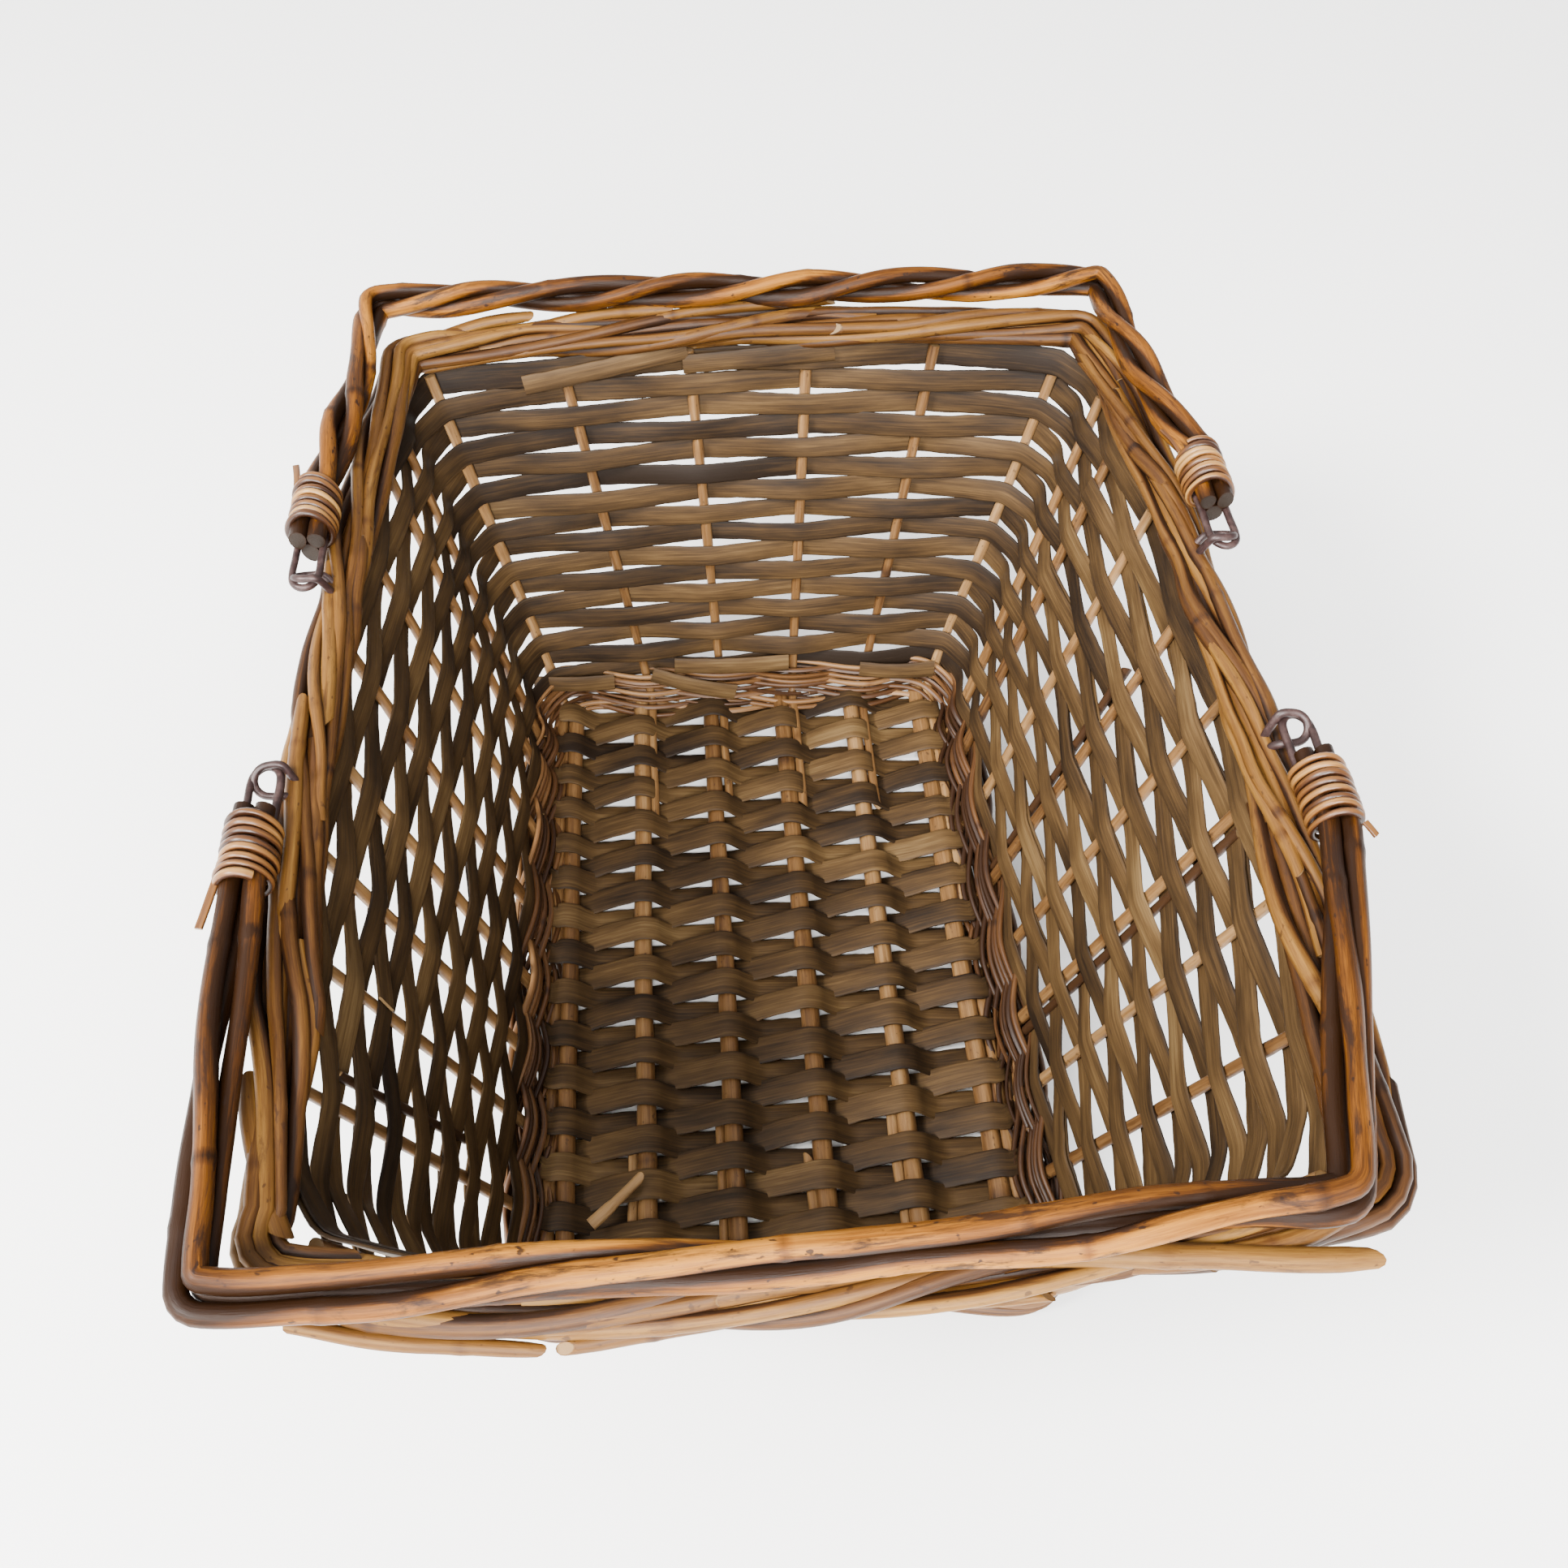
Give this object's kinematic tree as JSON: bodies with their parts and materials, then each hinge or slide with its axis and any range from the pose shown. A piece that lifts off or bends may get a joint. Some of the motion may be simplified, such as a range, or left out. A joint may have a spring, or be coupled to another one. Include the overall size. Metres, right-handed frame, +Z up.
{
  "type": "wicker basket",
  "caption": "Open flared rectangular wicker basket with a woven flat base, a rolled rod border and drop handles of twisted rods hinged on linked wire loops",
  "frame": {"origin": "middle of the footprint, on the surface that the basket stands on", "axes": "+Y along the longer side of the basket to its far end, +X to the right side, +Z up"},
  "size_m": [0.369, 0.4616, 0.2247],
  "materials": {
    "strip": "split willow, dull grey brown",
    "stake": "peeled willow, satin honey",
    "twig": "thin peeled twigs, pinkish tan",
    "border": "peeled willow, golden and slightly shiny",
    "handle": "willow rods, reddish brown with traces of bark",
    "binding": "split willow, coppery and shiny",
    "wire": "dulled, dark brown"
  },
  "bodies": {
    "basket": {"base_stick_1": "stake", "base_stick_2": "stake", "base_stick_3": "stake", "base_stick_4": "stake", "base_stick_5": "stake", "base_stick_6": "stake", "long_stake_1": "stake", "long_stake_2": "stake", "long_stake_3": "stake", "long_stake_4": "stake", "long_stake_5": "stake", "long_stake_6": "stake", "left_side_stakes": "stake", "right_side_stakes": "stake", "weaver_row_01": "strip", "weaver_row_02": "strip", "weaver_row_03": "strip", "weaver_row_04": "strip", "weaver_row_05": "strip", "weaver_row_06": "strip", "weaver_row_07": "strip", "weaver_row_08": "strip", "weaver_row_09": "strip", "weaver_row_10": "strip", "weaver_row_11": "strip", "weaver_row_12": "strip", "weaver_row_13": "strip", "weaver_row_14": "strip", "weaver_row_15": "strip", "weaver_row_16": "strip", "base_weave": "strip", "wale_lower": "twig", "wale_upper": "twig", "border_rod_1": "border", "border_rod_2": "border", "border_rod_3": "border", "border_rod_4": "border", "near_left_staple": "wire", "near_right_staple": "wire", "far_left_staple": "wire", "far_right_staple": "wire"},
    "near_handle": {"near_handle_rod_1": "handle", "near_handle_rod_2": "handle", "near_handle_rod_3": "handle", "near_left_binding": "binding", "near_left_eye": "wire", "near_right_binding": "binding", "near_right_eye": "wire"},
    "far_handle": {"far_handle_rod_1": "handle", "far_handle_rod_2": "handle", "far_handle_rod_3": "handle", "far_left_binding": "binding", "far_left_eye": "wire", "far_right_binding": "binding", "far_right_eye": "wire"}
  },
  "joints": [
    {"name": "near_handle_hinge", "type": "hinge", "parent": "basket", "child": "near_handle", "pos_m": [0, -0.049, 0.21277], "axis": [-1, 0, 0], "range_deg": [0, 102]},
    {"name": "far_handle_hinge", "type": "hinge", "parent": "basket", "child": "far_handle", "pos_m": [0, 0.049, 0.21277], "axis": [1, 0, 0], "range_deg": [0, 102]}
  ]
}
